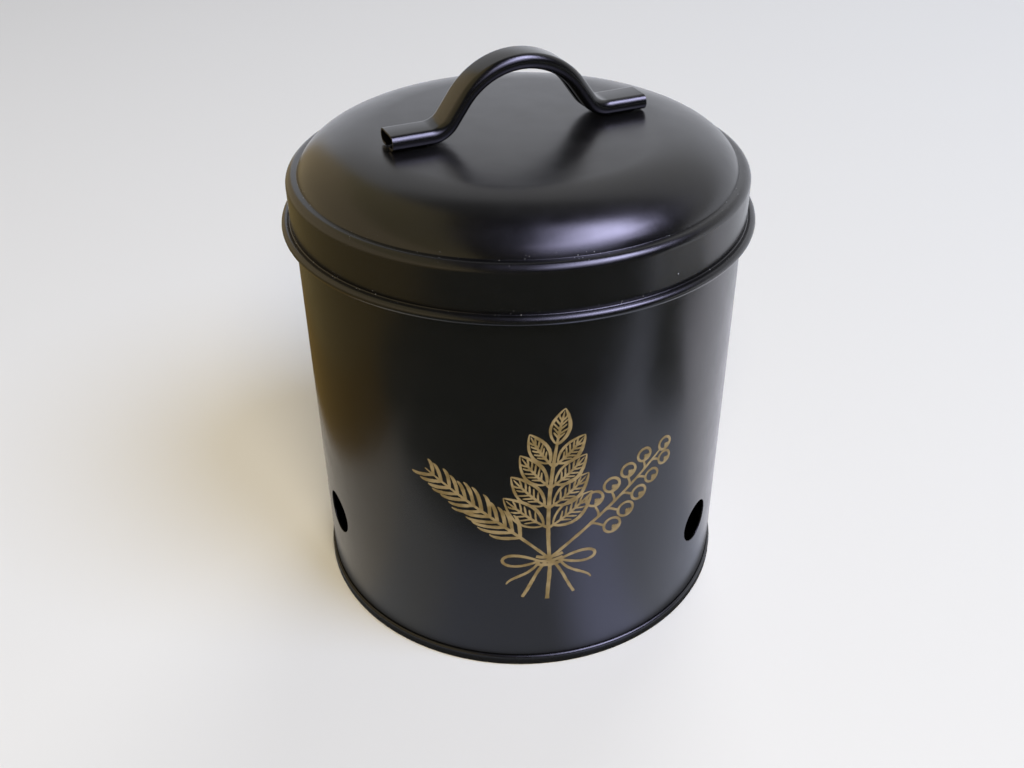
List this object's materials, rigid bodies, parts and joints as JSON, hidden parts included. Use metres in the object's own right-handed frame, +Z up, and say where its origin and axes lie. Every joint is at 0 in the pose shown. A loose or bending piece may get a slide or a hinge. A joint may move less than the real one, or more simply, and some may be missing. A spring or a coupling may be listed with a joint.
{
  "type": "garlic keeper",
  "caption": "Round painted steel garlic keeper: a tin with vent holes and a slip-over domed lid that lifts off by a bow handle.",
  "frame": {"origin": "middle of the foot ring, on the surface that the tin stands on", "axes": "+Z up along the tin's axis, towards the lid and handle; -Y towards the printed front, midway between two vent holes; +X to the viewer's right"},
  "size_m": [0.121, 0.121, 0.1491],
  "materials": {
    "can_paint": "satin black paint",
    "base_paint": "satin black paint",
    "lid_paint": "satin black paint",
    "handle_paint": "semi-gloss black paint",
    "print_ink": "matt tan ink line print"
  },
  "bodies": {
    "can": {"can_wall": "can_paint", "can_base": "base_paint"},
    "lid": {"lid_shell": "lid_paint", "lid_handle": "handle_paint"}
  },
  "joints": [
    {"name": "lid_lift", "type": "slide", "parent": "can", "child": "lid", "axis": [0, 0, 1], "range_m": [0, 0.06]}
  ]
}
